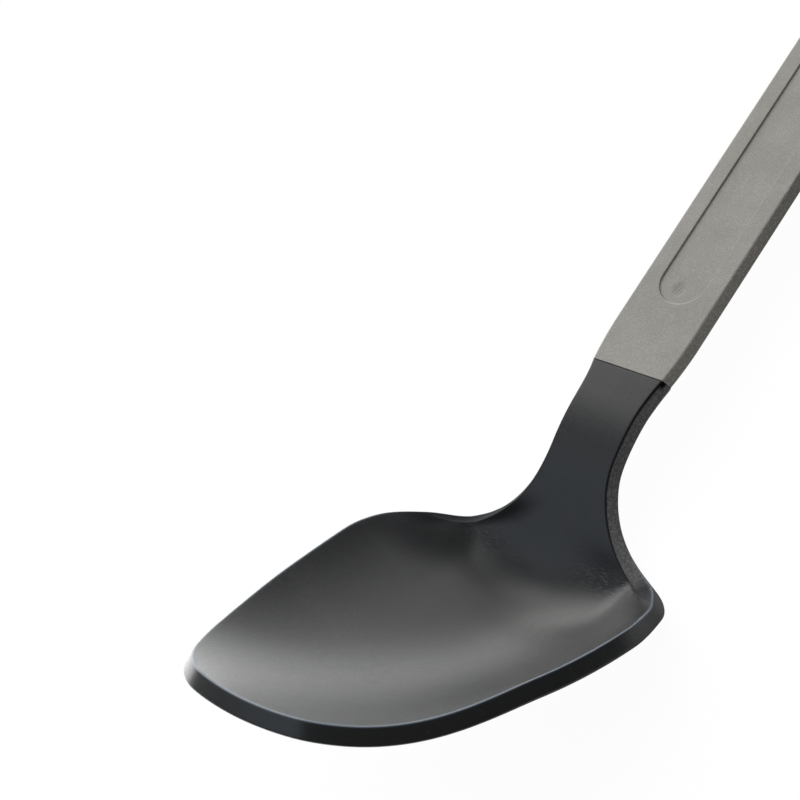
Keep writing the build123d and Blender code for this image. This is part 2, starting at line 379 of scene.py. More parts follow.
def meet(start, direction, liftOf, low, high):
    # goes down each line, halving the run until it meets the surface
    low, high = np.full(len(start), low), np.full(len(start), high)
    for _ in range(headSizes["halvings"]):
        middle = (low + high) / 2
        s, y, lift = offHead(start + direction * middle[:, None])
        below = lift < liftOf(s, y)
        low, high = np.where(below, low, middle), np.where(below, middle, high)
    return (low + high) / 2


def rimEdge(count):
    # the rim's top edge: where the flared wall, carried upwards, meets the dish
    z = headSizes
    places, outwards = rimOutline(count)
    along, up, origin = rimFrame()
    side = np.array([0.0, 1.0, 0.0])
    start = origin + places[:, :1] * along + places[:, 1:] * side
    outward = outwards[:, :1] * along + outwards[:, 1:] * side
    direction = outward * np.tan(np.radians(z["flare"])) - up
    run = meet(start, direction, lambda s, y: topLift(np.maximum(s, z["rimFrom"]), y), *z["rimSearch"])
    s, y, _ = offHead(start + direction * run[:, None])
    return s, y


def headEdge():
    # one line along the head's top edge, seam to tip: the neck's side, its flare joined softly to the rim, the rim
    z = headSizes
    rimS, rimY = rimEdge(z["rimPoints"])
    widest = rimY.argmax()
    neckS = np.linspace(0.0, z["flareStart"] + z["joinRun"], z["neckPoints"])
    neckY = neckHalf(neckS)
    joinY = np.linspace(neckY[-1], z["joinEnd"], z["joinPoints"])[1:]
    reach = z["flareRadius"] - (joinY - z["neckHalf"])
    flareS = z["flareStart"] + np.sqrt(z["flareRadius"] ** 2 - reach**2)
    backS = np.interp(joinY, rimY[:widest + 1], rimS[:widest + 1])
    joined = -softMax(-flareS, -backS, z["joinSoft"])
    share = ease(joinY, z["joinStart"], z["joinEnd"])
    joinS = joined * (1 - share) + backS * share
    rest = (np.arange(len(rimS)) > widest) | (rimY > z["joinEnd"] + z["joinGap"])
    return np.concatenate([neckS, joinS, rimS[rest]]), np.concatenate([neckY, joinY, rimY[rest]])


def headLines():
    # the lines along the head: top edge, low edge, and how far the neck's section has become the bowl's wall
    z = headSizes
    s, y = headEdge()
    line = evenly(np.stack([s, y, topLift(s, y)], -1), z["spacing"])
    s, y = soften(line[:, 0], z["edgeSoft"]), soften(line[:, 1], z["edgeSoft"])
    y[-1] = 0.0
    edge = onHead(s, y, topLift(s, y))
    up = rimFrame()[1]
    tangent = np.gradient(edge, axis=0)
    tangent[-1] = (0, -1, 0)
    outward = unit(np.cross(tangent, up))
    flare = np.radians(z["flare"])
    down = outward * np.sin(flare) - up * np.cos(flare)
    bowlLow = edge + down * meet(edge, down, underLift, *z["lowSearch"])[:, None]
    back = neckHalf(s) - z["backLean"]
    neckLow = onHead(s, back, underLift(s, back))
    wall = ease(s, z["wallStart"], z["wallEnd"])
    low = neckLow * (1 - wall[:, None]) + bowlLow * wall[:, None]
    corner = ease(s, *z["cornerStart"]) * (1 - ease(s, *z["cornerEnd"]))
    low = low + (soften(low, z["cornerSoft"]) - low) * corner[:, None]
    low = low + outward * z["cornerPush"] * bell(s, z["cornerMiddle"], z["cornerRun"])[:, None]
    low[-1, 1] = 0.0
    return s, y, edge, low, wall


def inset(s, y, distance):
    # moves a line on the unrolled face inwards, square to itself
    ds, dy = np.gradient(s), np.gradient(y)
    ds[-1], dy[-1] = 0.0, -1.0
    length = np.hypot(ds, dy)
    inY = np.maximum(y - distance * ds / length, 0.0)
    inY[-1] = 0.0
    return s + distance * dy / length, inY


def spine(s, edge):
    # foot of each cross line on the mid-line: level with its end at first, then slower, so that the lines fan out
    z = headSizes
    run = runAlong(edge)
    first = np.argmax(s > z["spineStart"])
    share = np.clip((run - run[first]) / (run[-1] - run[first]), 0, 1)
    return np.where(share > 0, s[first] + z["spineReach"] * (2 * share - share**2), s)


def crossPlaces(s, y, foot, share):
    # points on cross lines from the mid-line to (s, y): square to it at the start, out to the side
    return foot[:, None] + (s - foot)[:, None] * share**2, y[:, None] * share


def topColumns(s, y):
    # columns of the top face as shares of its half width y: even ones up to the crease, close ones along it, and a
    # few to the edge. The crease fades into a plain line of the bowl.
    z = headSizes
    fade = ease(s, *z["creaseEnd"])
    crease = np.minimum(creaseHalf(s) / np.maximum(y, 1e-6), z["creaseMost"]) * (1 - fade) + z["creaseShare"] * fade
    close = crease[:, None] + np.array(z["creaseLines"]) / np.maximum(y, z["creaseNear"])[:, None]
    inner = np.linspace(0, 1, z["innerSteps"])[None, :-1] * close[:, :1]
    outer = close[:, -1:] + (1 - close[:, -1:]) * np.linspace(0, 1, z["outerSteps"])[None, 1:]
    return np.concatenate([inner, close, outer], 1)


def spot(s, y, sizes):
    # soft oval mark, a bell curve along and across
    along = bell(s, sizes["along"], sizes["length"])
    return sizes["share"] * along * bell(y, sizes["across"], sizes["width"])


def faceMarks(s, y, inward):
    # values on the top face at (s, y), where the edge is inward away: band, crease (painted shade of the crease line
    # and its notch at the seam), scuff, and how dull it is on the near and on the far side
    z, m = headSizes, headMarks
    gap = edgeGap(s, y)
    line = m["line"] + m["lineSeam"] * np.exp(-s / m["lineRun"])
    crease = bell(gap, z["bandWidth"] - m["lineShift"] * line, line) * bandShown(y)
    crease = crease * (1 - m["lineLoss"] * ease(s, *m["lineFade"]))
    notch = (1 - ease(s, *m["notchAlong"])) * ease(gap, *m["notchOuter"])
    notch = notch * (1 - ease(gap, z["bandWidth"] - m["notchInner"], z["bandWidth"] + m["notchInner"]))
    band = (1 - ease(gap, z["bandWidth"] - m["bandEdge"], z["bandWidth"])) * bandShown(y)
    seamScuff = m["seamScuff"] * bell(s, m["seamScuffAlong"], m["seamScuffRun"]) * (1 - band)
    scuff = np.maximum(spot(s, y, m["scuff"]), seamScuff)
    band = band * (1 - ease(y, *m["bandAcross"]))
    dull = (1 - ease(gap, *m["dullGap"])) * (1 - ease(s, *m["dullAlong"])) * (1 - ease(y, *m["dullAcross"]))
    shoulder = m["shoulder"] * (1 - ease(inward, *m["shoulderIn"]))
    shoulder = shoulder * ease(s, *m["shoulderStart"]) * (1 - ease(s, *m["shoulderEnd"]))
    nearDull = np.maximum(dull, spot(s, y, m["foot"]))
    farDull = np.maximum(dull, np.maximum(shoulder, spot(s, y, m["heel"])))
    return band, np.maximum(crease, notch), scuff, nearDull, farDull


def makeHead(material):
    # one side of the head as five grids from the seam to the tip, and the same ones mirrored
    z, m = headSizes, headMarks
    s, y, edge, low, wall = headLines()
    topEdge = z["neckTopEdge"] + (z["topEdge"] - z["neckTopEdge"]) * wall
    lowEdge = z["neckLowEdge"] + (z["lowEdge"] - z["neckLowEdge"]) * wall

    # top and underside, on cross lines from the mid-line to where the rounded edges begin
    inS, inY = inset(s, y, topEdge)
    columns = topColumns(inS, inY)
    topS, topY = crossPlaces(inS, inY, spine(inS, edge), columns)
    top = onHead(topS, topY, topLift(topS, topY))
    lowS, lowY, _ = offHead(low)
    lowY[-1] = 0.0
    lowS, lowY = inset(lowS, lowY, lowEdge)
    underS, underY = crossPlaces(lowS, lowY, spine(lowS, low), np.linspace(1, 0, z["underSteps"])[None, :])
    under = onHead(underS, underY, underLift(underS, underY))

    # wall, which bulges a little along the neck, and both rounded edges
    down = unit(low - edge)
    height = np.linalg.norm(low - edge, axis=1)
    wallTop = edge + down * topEdge[:, None] * z["topEdgeDrop"]
    wallLow = low - down * np.minimum(lowEdge, height * z["lowEdgeMost"])[:, None]
    share = np.linspace(0, 1, z["wallSteps"])[None, :, None]
    bulge = unit(np.cross(down, np.gradient(edge, axis=0))) * (z["neckBulge"] * (1 - wall))[:, None]
    face = wallTop[:, None] * (1 - share) + wallLow[:, None] * share + bulge[:, None] * 4 * share * (1 - share)
    topBend = bend(top[:, -1], edge, wallTop, z["topBendSteps"])
    lowBend = bend(wallLow, low, under[:, 0], z["lowBendSteps"])

    band, crease, scuff, nearDull, farDull = faceMarks(topS, topY, (1 - columns) * inY[:, None])
    sideBand = bandShown(topY[:, -1:]) * ((1 - ease(s, *m["bandAlong"])) * (1 - ease(y, *m["bandOuter"])))[:, None]
    wall = wall[:, None]
    over, leaving = np.linspace(0, 1, z["topBendSteps"])[None, :], np.linspace(1, 0, z["lowBendSteps"])[None, :]
    # painted highlight: a pale blue line on the top edge's rounding, along the bowl
    rim = (4 * over * (1 - over)) ** 3 * wall
    piece = Piece("spoon_head_body", ["band", "crease", "scuff", "dull", "rim", "wall"])
    # the far side keeps only farBand of the band's paler colour: painted shade on the far side's band
    for side, bandLeft, scuffLeft, dull in ((1, m["farBand"], m["farScuff"], farDull), (-1, 1.0, 1.0, nearDull)):
        mirror = np.array([1, side, 1])
        outer = sideBand * bandLeft
        piece.add(top * mirror, {"band": band * bandLeft, "crease": crease, "scuff": scuff * scuffLeft, "dull": dull})
        piece.add(topBend * mirror, {"band": outer, "dull": dull[:, -1:], "rim": rim, "wall": over * wall})
        piece.add(face * mirror, {"band": outer, "wall": wall})
        piece.add(lowBend * mirror, {"band": sideBand * leaving, "wall": wall * leaving})
        piece.add(under * mirror)
    piece.build("root", "spoon_head", material)


# Handle

handleSizes = {
    # section: flat front, side band that spreads outwards, back that leans in to a flat middle
    "frontHalf": 9.0, "seamNarrow": 0.7, "taper": 10.0, "proud": 0.07, "spread": 1.3, "sideDepth": 1.8,
    "depth": 7.0, "lean": 4.4, "backRound": 4.0, "frontEdge": 0.32, "sideEdge": 0.3, "bandEnd": 0.4,
    # seam edge, drawn in towards the middle of the section
    "seamEdge": 0.04, "seamMiddle": -3.0, "seamDeep": 3.4,
    # slot in the front, gate mark and hanging hole
    "slotStart": 16.1, "slotEnd": 179.5, "slotHalf": 5.25, "slotDepth": 0.42, "slotWall": 0.26,
    "markX": 19.5, "markY": 0.3, "markSize": 1.45, "markPower": 4, "markDepth": 0.16, "markOval": (0.9, 1.1),
    "markRipple": 0.25, "rippleAlong": (4, 3), "rippleAcross": (-2, 5),
    "holeX": 193.5, "holeRadius": 4.0, "holeChamfer": 0.5,
    # middle of the round end; between the slot and the hole the mesh changes over at split
    "endX": 194.7, "split": 184.5,
    # painted highlight: light line round the slot's end at the seam
    "lipOut": 0.16, "lipWidth": 0.16, "lipSide": (-0.3, 0.7),
    # where the side band's painted shade lies on its section: outwards from the front edge, then down to the outer edge
    "shadeOut": (-0.05, 0.2), "shadeDown": (1.7, 2.1),
    # mesh: rows lie close at the seam, and points close at the slot's edge, where their spread is a cube
    "seamRows": (0.0, 0.007, 0.014, 0.027, 0.04, 0.2, 0.6), "seamPoints": (0.2, 0.06, 0.04, 0.02, 0.01, 0.0),
    "seamFrom": 0.45, "slotSpread": 0.8, "slotStep": 0.22, "acrossSteps": 45,
    "nearRows": (1.3, 20.0, 24), "farFrom": 21.35, "farSteps": 110, "splitSteps": 9, "endSteps": 32,
    "insideSteps": 14, "slotSteps": 17, "outsideSteps": 9, "edgeSteps": 7, "bandSteps": 8,
    "holeShares": (0.0, 0.03, 0.08), "frontFrom": 0.16, "frontSteps": 10, "backFrom": 0.1, "backSteps": 20,
    "chamferSteps": 4, "boreSteps": 8,
}


def frontHalf(x):
    # half width of the front face, a little narrower at the seam
    z = handleSizes
    return z["frontHalf"] - z["seamNarrow"] * np.clip(1 - x / z["taper"], 0, 1) ** 2


def outlineAt(growth):
    # half of the handle's outline, seam to end: side with its taper, then the round end; grown outwards
    z = handleSizes
    x = np.concatenate([z["seamRows"], np.linspace(*z["nearRows"]),
                        np.linspace(z["farFrom"], z["split"], z["farSteps"]),
                        np.linspace(z["split"], z["endX"], z["splitSteps"])[1:-1]])
    side = np.stack([x, frontHalf(x) + growth], -1)
    angle = np.radians(np.linspace(90, 0, z["endSteps"]))
    end = np.array([z["endX"], 0.0]) + (z["frontHalf"] + growth) * np.stack([np.cos(angle), np.sin(angle)], -1)
    end[-1, 1] = 0.0
    return np.concatenate([side, end])


def frontLevel(x, y):
    # flat face with the slot pressed into it, and the small mark that the moulding gate left
    z = handleSizes
    near = np.clip(x, z["slotStart"] + z["slotHalf"], z["slotEnd"] - z["slotHalf"])
    away = np.hypot(x - near, y) - z["slotHalf"]
    pressed = 1 - ease(away, -z["slotWall"] / 2, z["slotWall"] / 2)
    mark = np.hypot((x - z["markX"]) * z["markOval"][0], (y - z["markY"]) * z["markOval"][1])
    along = z["rippleAlong"][0] * x + z["rippleAlong"][1] * y
    across = z["rippleAcross"][0] * x + z["rippleAcross"][1] * y
    ripple = 1 + z["markRipple"] * np.sin(along) * np.cos(across)
    dent = np.exp(-((mark / z["markSize"]) ** z["markPower"])) * ripple
    return z["proud"] - z["slotDepth"] * pressed - z["markDepth"] * dent


def backLevel(x, y):
    # the back leans in below the side band, then an arc turns it into its flat middle
    z = handleSizes
    inwards = z["spread"] - (np.hypot(np.maximum(x - z["endX"], 0), y) - frontHalf(x))
    drop = z["depth"] - z["sideDepth"]
    slant = np.arctan2(drop, z["lean"])
    reach = z["backRound"] * np.tan(slant / 2)
    first, last = z["lean"] - reach * np.cos(slant), z["lean"] + reach
    arc = drop - z["backRound"] + np.sqrt(np.maximum(z["backRound"] ** 2 - (last - inwards) ** 2, 0))
    leaning = inwards * drop / z["lean"]
    return -z["sideDepth"] - np.where(inwards < first, leaning, np.where(inwards < last, arc, drop))


def roundSeam(grid):
    # rounds the handle's edge at the seam: draws its last fractions of a millimetre inwards
    z = handleSizes
    reach = np.clip(z["seamEdge"] - grid[..., 0], 0, z["seamEdge"])
    drawn = z["seamEdge"] - np.sqrt(np.maximum(z["seamEdge"] ** 2 - reach**2, 0))
    out = grid.copy()
    out[..., 1] *= 1 - drawn / z["frontHalf"]
    out[..., 2] = z["seamMiddle"] + (grid[..., 2] - z["seamMiddle"]) * (1 - drawn / z["seamDeep"])
    return out


def withLevel(flat, level):
    # lifts flat points to the height that level gives there
    return np.concatenate([flat, level(flat[..., 0], flat[..., 1])[..., None]], -1)


def makeHandle(material):
    z = handleSizes
    piece = Piece("handle_body", ["band", "mark", "slotHighlight", "run"])
    front, back = outlineAt(-z["frontEdge"]), outlineAt(z["spread"] - z["sideEdge"])
    first = int((front[:, 0] <= z["split"] + 1e-6).sum()) - 1
    across = np.sin(np.linspace(-np.pi / 2, np.pi / 2, z["acrossSteps"]))
    mirror = np.array([1, -1])

    def rowAt(x, half):
        # straight row of points across the handle
        return np.stack([x + 0 * across, across * half], -1)

    # front face round the slot: lines from the slot's middle to the outline, the seam and the split. They have
    # close points at the slot's edge, and at the seam.
    loop = np.concatenate([front[:first + 1], rowAt(z["split"], front[first, 1])[::-1][1:-1],
                           (front[:first + 1] * mirror)[::-1], rowAt(0, front[0, 1])[1:]])
    slotA, slotB = z["slotStart"] + z["slotHalf"], z["slotEnd"] - z["slotHalf"]
    middle = np.stack([np.clip(loop[:, 0], slotA, slotB), 0 * loop[:, 0]], -1)
    length = np.linalg.norm(loop - middle, axis=1)[:, None]
    way = unit(loop - middle)
    steps = np.linspace(-1, 1, z["slotSteps"])[None, :]
    atEdge = z["slotHalf"] + z["slotSpread"] * steps**3 + z["slotStep"] * steps + 0 * length
    inner = np.linspace(0, 1, z["insideSteps"])[None, :-1] * atEdge[:, :1]
    end = length * (1 - z["seamFrom"] / slotA)
    outer = atEdge[:, -1:] + (end - atEdge[:, -1:]) * np.linspace(0, 1, z["outsideSteps"])[None, 1:]
    last = length * (1 - np.array(z["seamPoints"])[None, :] / slotA)
    away = np.concatenate([inner, atEdge, outer, last], 1)
    flat = middle[:, None] + way[:, None] * away[..., None]
    fromMark = np.hypot(flat[..., 0] - z["markX"], flat[..., 1] - z["markY"])
    mark = np.exp(-((fromMark / z["markSize"]) ** z["markPower"]))
    # painted highlight: a lighter line along the slot's edge, on its end towards the seam
    seamEnd = ease(-way[:, 0], 0.0, 1.0) * (1 - ease(way[:, 1], *z["lipSide"]))
    slotHighlight = bell(away, z["slotHalf"] + z["lipOut"], z["lipWidth"]) * seamEnd[:, None]
    piece.add(roundSeam(withLevel(flat, frontLevel)), {"mark": mark, "slotHighlight": slotHighlight, "run": flat[..., 0]})

    # front face and back round the hanging hole, on the same directions from it
    def holeLoop(outline):
        half = outline[first:]
        return np.concatenate([half, (half * mirror)[::-1][1:], rowAt(z["split"], outline[first, 1])[1:]])

    hole = np.array([z["holeX"], 0.0])
    towards = unit(holeLoop(front) - hole)
    rim = z["holeRadius"] + z["holeChamfer"]
    start = hole + towards * rim
    frontShares = np.linspace(z["frontFrom"], 1, z["frontSteps"])
    backShares = np.sin(np.linspace(z["backFrom"], np.pi / 2, z["backSteps"]))
    for outline, level, wider in ((front, frontLevel, frontShares), (back, backLevel, backShares)):
        shares = np.concatenate([z["holeShares"], wider])[None, :, None]
        flat = start[:, None] + (holeLoop(outline) - start)[:, None] * shares
        piece.add(withLevel(flat, level), {"run": flat[..., 0]})

    # hole wall: chamfer, bore, chamfer
    narrowing = np.linspace(rim, z["holeRadius"], z["chamferSteps"])
    drop = np.linspace(0, z["holeChamfer"], z["chamferSteps"])[None, :]
    radii = np.concatenate([narrowing, np.full(z["boreSteps"] - 2, z["holeRadius"]), narrowing[::-1]])
    topZ = z["proud"] - drop
    lowZ = backLevel(start[:, 0], start[:, 1])[:, None] + drop[:, ::-1]
    boreZ = topZ[:, -1:] + (lowZ[:, :1] - topZ[:, -1:]) * np.linspace(0, 1, z["boreSteps"])[None, 1:-1]
    levels = np.concatenate([topZ + 0 * lowZ, boreZ, lowZ], 1)
    ring = hole + towards[:, None] * radii[None, :, None]
    piece.add(np.concatenate([ring, levels[..., None]], -1), {"run": z["holeX"]})

    # back, from the seam to the split
    rows = back[:first + 1]
    flat = np.stack([rows[:, :1] + 0 * across, rows[:, 1:] * across], -1)
    piece.add(roundSeam(withLevel(flat, backLevel)), {"run": flat[..., 0]})

    # both sides: rounded front edge, side band, rounded outer edge, carried along the outline
    corner, outer = np.array([0, z["proud"]]), np.array([z["spread"], -z["sideDepth"]])
    lean = (z["depth"] - z["sideDepth"]) / z["lean"]
    alongBand = unit(outer - corner)
    bandTop, bandLow = corner + alongBand * z["frontEdge"], outer - alongBand * z["bandEnd"]
    begin, finish = np.array([-z["frontEdge"], z["proud"]]), outer - z["sideEdge"] * np.array([1, lean])
    profile = np.concatenate([bend(begin[None], corner[None], bandTop[None], z["edgeSteps"])[0],
                              bandTop + (bandLow - bandTop) * np.linspace(0, 1, z["bandSteps"])[1:-1, None],
                              bend(bandLow[None], outer[None], finish[None], z["edgeSteps"])[0]])
    wrap = np.stack([np.column_stack([outlineAt(growth), np.full(len(front), level)]) for growth, level in profile], 1)
    # mask of the side band's painted shade
    band = ease(profile[:, 0], *z["shadeOut"]) * (1 - ease(-profile[:, 1], *z["shadeDown"]))
    for side in (1, -1):
        piece.add(roundSeam(wrap) * [1, side, 1], {"band": band[None, :], "run": wrap[..., 0]})
    piece.build("root", "handle", material)


# Surfaces

headFinish = {
    "grain": 2.2, "relief": 0.2, "tint": (0.92, 1.0, 1.12), "base": (0.011, 0.0165),
    "band": 0.19, "bandSpeckle": (0.35, 0.68), "bandShare": (0.5, 1.0), "bandRough": 0.25,
    "worn": 0.115, "wornShare": 0.6, "chip": 0.17, "chipShare": 0.5, "chipSpeckle": (0.70, 0.74),
    # crease: painted shade, the near-black colour of the crease line and its notch
    # rim: painted highlight, the pale blue colour along the bowl's top edge
    "rim": (0.23, 0.29, 0.36, 1.0), "rimHighlightShare": 0.7, "crease": 0.004,
    "rough": (0.29, 0.36), "gloss": 0.5, "creaseLoss": 0.47, "dullLoss": 0.38, "scuffLoss": 0.22,
    "ior": 1.5, "glossTint": (0.97, 0.985, 1.0, 1.0),
}

handleFinish = {
    "grain": 2.7, "relief": 0.3, "tint": (1.04, 1.0, 0.91), "base": (0.278, 0.308), "cloud": (0.35, 0.65),
    "speckle": (0.35, 0.7), "speckleShare": (0.89, 1.13), "mark": 0.10, "markShare": 0.25, "slotHighlight": 0.50, "slotHighlightShare": 0.6,
    # painted shade: the side bands' colour gets darker away from the seam
    "sideShadeRun": (5.0, 85.0), "side": (0.285, 0.175), "sideSpeckle": (0.4, 0.7), "sideSpeckleShare": (0.8, 1.3),
    "rough": (0.5, 0.62), "ior": 1.46,
}

moulded = {
    # noise scales per millimetre; depth is the grain's height in metres, and scuffDepth a share of it
    "detail": (3.0, 0.65), "cloud": 0.11, "cloudDetail": (4.0, 0.6),
    "streak": 1.7, "streakDetail": (4.0, 0.7), "stretch": (2.4, 0.4, 1.6), "wander": 0.25, "scuff": (0.52, 0.66),
    "depth": 0.0001, "scuffDepth": 0.3, "roughSpeckle": (0.3, 0.7),
}


def addNode(tree, kind, inputs=None, **settings):
    made = tree.nodes.new(kind)
    for key, value in settings.items():
        setattr(made, key, value)
    for key, value in (inputs or {}).items():
        if isinstance(value, bpy.types.NodeSocket):
            tree.links.new(value, made.inputs[key])
        else:
            made.inputs[key].default_value = value
    return made


def combine(tree, operation, a, b):
    return addNode(tree, "ShaderNodeMath", {0: a, 1: b}, operation=operation).outputs[0]


def vector(tree, operation, a, b):
    # scaling takes a number, and a dot product or a distance gives one
    second = "Scale" if operation == "SCALE" else 1
    made = addNode(tree, "ShaderNodeVectorMath", {0: a, second: b}, operation=operation)
    return made.outputs["Value" if operation in ("DOT_PRODUCT", "DISTANCE") else "Vector"]


def ramp(tree, value, limits, results=(0.0, 1.0)):
    inputs = {0: value, 1: limits[0], 2: limits[1], 3: results[0], 4: results[1]}
    return addNode(tree, "ShaderNodeMapRange", inputs, interpolation_type="SMOOTHSTEP").outputs[0]


def mixColor(tree, share, a, b):
    return addNode(tree, "ShaderNodeMix", {0: share, 6: a, 7: b}, data_type="RGBA").outputs[2]


def gray(value):
    # without a tint
    return (value, value, value, 1.0)


def tinted(value, shares):
    # a value times its red, green and blue shares
    return tuple(value * share for share in shares) + (1.0,)


def readValue(tree, name, share=1.0):
    # a value that Piece.add put on the mesh, or a share of it
    value = addNode(tree, "ShaderNodeAttribute", attribute_name=name).outputs["Fac"]
    return value if share == 1.0 else combine(tree, "MULTIPLY", value, share)


def makeSurfaceGroup():
    # shared by both plastics: speckle, slow cloud, scuff marks, and a normal with the grain in it
    z = moulded
    tree = bpy.data.node_groups.new("moulded_surface", "ShaderNodeTree")
    for name in ("Grain", "Relief"):
        tree.interface.new_socket(name, in_out="INPUT", socket_type="NodeSocketFloat")
    for name in ("Speckle", "Cloud", "Scuff"):
        tree.interface.new_socket(name, in_out="OUTPUT", socket_type="NodeSocketFloat")
    tree.interface.new_socket("Normal", in_out="OUTPUT", socket_type="NodeSocketVector")
    given = addNode(tree, "NodeGroupInput")
    place = vector(tree, "SCALE", addNode(tree, "ShaderNodeTexCoord").outputs["Object"], 1000.0)   # in millimetres

    def noise(where, scale, detail, wander=0.0):
        return addNode(tree, "ShaderNodeTexNoise", {"Vector": where, "Scale": scale, "Detail": detail[0],
                                                    "Roughness": detail[1], "Distortion": wander}).outputs[0]

    fine = noise(place, given.outputs["Grain"], z["detail"])
    slow = noise(place, z["cloud"], z["cloudDetail"])
    streak = noise(vector(tree, "MULTIPLY", place, z["stretch"]), z["streak"], z["streakDetail"], z["wander"])
    scuff = ramp(tree, streak, z["scuff"])
    height = combine(tree, "ADD", fine, combine(tree, "MULTIPLY", scuff, z["scuffDepth"]))
    relief = {"Height": height, "Distance": z["depth"], "Strength": given.outputs["Relief"]}
    bump = addNode(tree, "ShaderNodeBump", relief).outputs[0]
    addNode(tree, "NodeGroupOutput", {"Speckle": fine, "Cloud": slow, "Scuff": scuff, "Normal": bump})
    return tree


def newMaterial(name):
    material = bpy.data.materials.new(name)
    material.use_nodes = True
    material.node_tree.nodes.clear()
    return material, material.node_tree


def placeSurface(tree, surface, finish):
    # the shared group with this plastic's own grain
    group = addNode(tree, "ShaderNodeGroup", node_tree=surface)
    group.inputs["Grain"].default_value, group.inputs["Relief"].default_value = finish["grain"], finish["relief"]
    return group.outputs


def makeHeadMaterial(surface):
    z = headFinish
    material, tree = newMaterial("head_nylon_dark")
    given = placeSurface(tree, surface, z)
    speckle = given["Speckle"]
    color = mixColor(tree, given["Cloud"], *(tinted(value, z["tint"]) for value in z["base"]))
    band = combine(tree, "MULTIPLY", readValue(tree, "band"), ramp(tree, speckle, z["bandSpeckle"], z["bandShare"]))
    color = mixColor(tree, band, color, gray(z["band"]))
    worn = combine(tree, "MULTIPLY", readValue(tree, "scuff", z["wornShare"]), given["Scuff"])
    color = mixColor(tree, worn, color, tinted(z["worn"], z["tint"]))
    chip = combine(tree, "MULTIPLY", readValue(tree, "wall", z["chipShare"]), ramp(tree, speckle, z["chipSpeckle"]))
    color = mixColor(tree, chip, color, gray(z["chip"]))
    # painted highlight: pale blue line along the bowl's top edge
    color = mixColor(tree, readValue(tree, "rim", z["rimHighlightShare"]), color, z["rim"])
    # painted shade: the crease line and its notch at the seam turn near black
    color = mixColor(tree, readValue(tree, "crease"), color, tinted(z["crease"], z["tint"]))
    rough = ramp(tree, speckle, moulded["roughSpeckle"], z["rough"])
    rough = combine(tree, "ADD", rough, combine(tree, "MULTIPLY", band, z["bandRough"]))
    loss = combine(tree, "MAXIMUM", readValue(tree, "crease", z["creaseLoss"]), readValue(tree, "dull", z["dullLoss"]))
    loss = combine(tree, "MAXIMUM", loss, readValue(tree, "scuff", z["scuffLoss"]))
    shader = addNode(tree, "ShaderNodeBsdfPrincipled", {
        "Base Color": color, "Roughness": rough, "Normal": given["Normal"], "IOR": z["ior"],
        "Specular IOR Level": combine(tree, "SUBTRACT", z["gloss"], loss), "Specular Tint": z["glossTint"]})
    addNode(tree, "ShaderNodeOutputMaterial", {"Surface": shader.outputs[0]})
    return material


def makeHandleMaterial(surface):
    z = handleFinish
    material, tree = newMaterial("handle_nylon_grey")
    given = placeSurface(tree, surface, z)
    speckle = given["Speckle"]

    def speckled(color, limits, shares):
        darker, lighter = (vector(tree, "SCALE", color, share) for share in shares)
        return mixColor(tree, ramp(tree, speckle, limits), darker, lighter)

    cloud = ramp(tree, given["Cloud"], z["cloud"])
    color = mixColor(tree, cloud, *(tinted(value, z["tint"]) for value in z["base"]))
    color = speckled(color, z["speckle"], z["speckleShare"])
    color = mixColor(tree, readValue(tree, "mark", z["markShare"]), color, tinted(z["mark"], z["tint"]))
    # painted highlight: the lighter line round the slot's end
    color = mixColor(tree, readValue(tree, "slotHighlight", z["slotHighlightShare"]), color, tinted(z["slotHighlight"], z["tint"]))
    # painted shade: the side bands take a darker colour, darker still away from the seam
    run = ramp(tree, readValue(tree, "run"), z["sideShadeRun"])
    side = mixColor(tree, run, *(tinted(value, z["tint"]) for value in z["side"]))
    side = speckled(side, z["sideSpeckle"], z["sideSpeckleShare"])
    color = mixColor(tree, readValue(tree, "band"), color, side)
    rough = ramp(tree, speckle, moulded["roughSpeckle"], z["rough"])
    shader = addNode(tree, "ShaderNodeBsdfPrincipled", {
        "Base Color": color, "Roughness": rough, "Normal": given["Normal"], "IOR": z["ior"]})
    addNode(tree, "ShaderNodeOutputMaterial", {"Surface": shader.outputs[0]})
    return material


# Floor, light and camera

sky = {
    # each lobe: the way it faces, its strength from one facing to another, and its colour
    "sweep": {"towards": (0.589, 0.801, -0.105), "facing": (0.34, 0.71), "strength": (0.17, 1.01),
              "color": (1.03, 1.0, 0.965)},
    "key": {"towards": (0.392, 0.911, 0.126), "facing": (0.855, 0.915), "strength": (0.0, 2.26),
            "color": (1.03, 1.0, 0.965)},
    "fill": {"towards": (-0.44, 0.382, 0.813), "facing": (0.91, 0.985), "strength": (0.0, 0.78),
             "color": (0.86, 1.0, 1.18)},
    "patch": {"towards": (0.906, 0.0, 0.423), "facing": (0.90, 0.995), "strength": (0.0, 0.8),
              "color": (1.0, 1.0, 1.0)},
    "glow": {"towards": (0.35, 0.62, 0.70), "facing": (0.30, 0.95), "strength": (0.04, 1.95),
             "color": (1.0, 1.0, 1.0)},
}

ground = {
    "half": 3.0, "color": 0.6,
    # the camera sees a share of plain white, and the shadow in the rest; other rays than mirrored ones see bright
    "share": 0.93, "bright": 1.04,
    # mirrored rays see a floor that gets brighter from back to front, with a painted shadow pool under the bowl
    "towards": (-0.433, 0.902, 0.0), "back": -0.108, "front": 0.095, "strength": (0.0, 3.1),
    "shadowPool": (-0.105, 0.0, 0.0), "poolInner": 0.035, "poolOuter": 0.085, "shade": 0.12,
}

lamp = {"place": (0.35, 0.60, 0.90), "aim": (-0.05, 0.0, 0.0), "size": 0.5, "power": 1.04}


